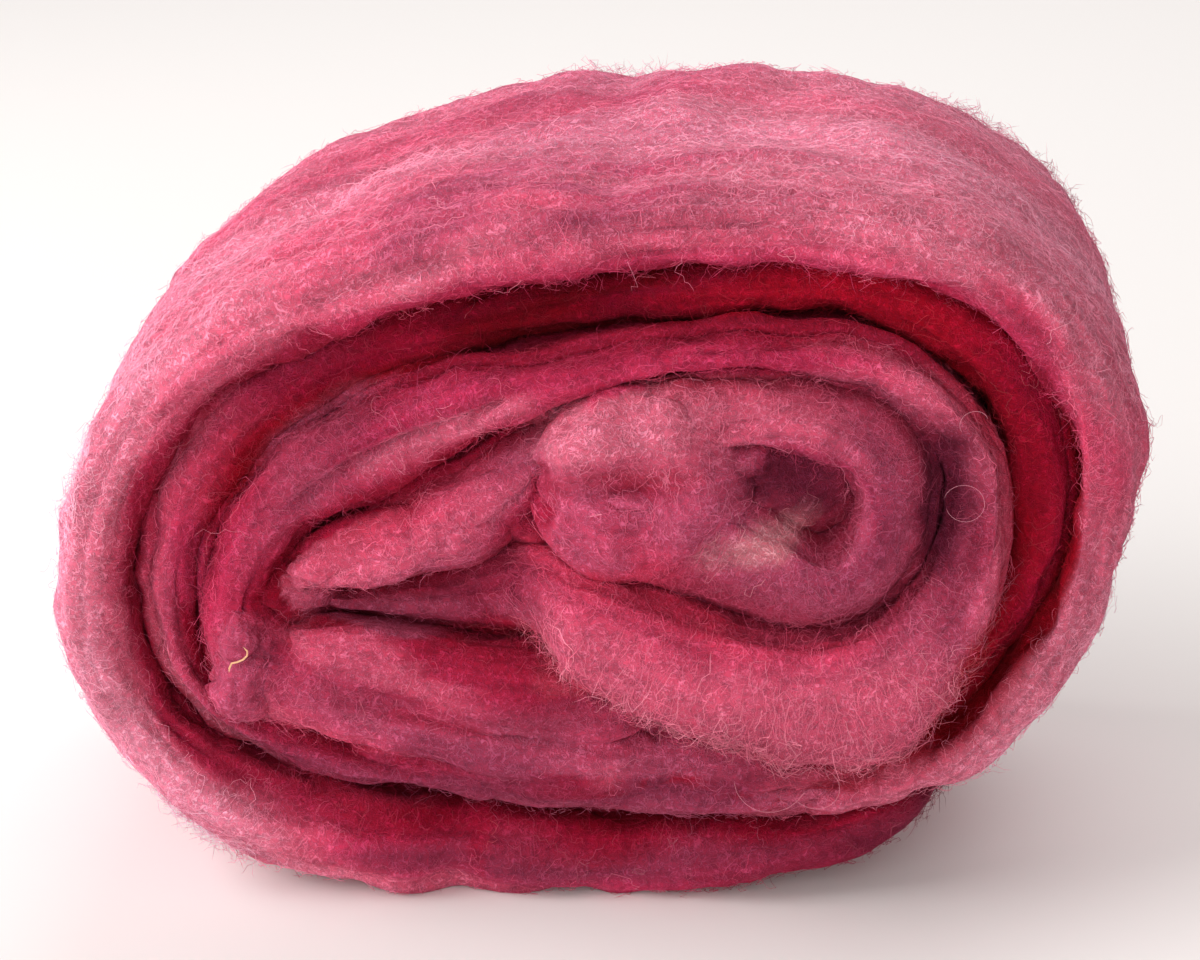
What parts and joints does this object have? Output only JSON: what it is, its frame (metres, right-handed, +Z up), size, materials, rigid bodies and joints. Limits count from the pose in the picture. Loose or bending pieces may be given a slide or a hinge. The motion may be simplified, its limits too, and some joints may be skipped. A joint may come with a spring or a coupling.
{
  "type": "roll of wool roving",
  "caption": "Thick soft strip of carded, dyed wool fibre wound up on itself into a flattened spiral roll with a loose end tucked under it.",
  "frame": {"origin": "on the surface the roll rests on, under the centre of its bounding box", "axes": "+Z up; +X to the right when the spiral end is seen from the front; +Y along the strip's width, away from the spiral end that faces -Y"},
  "size_m": [0.1088, 0.061, 0.0772],
  "materials": {
    "dyed_wool": "carded wool, matt, with a soft halo of loose fibres"
  },
  "bodies": {
    "root": {"roving_roll": "dyed_wool"}
  },
  "joints": []
}
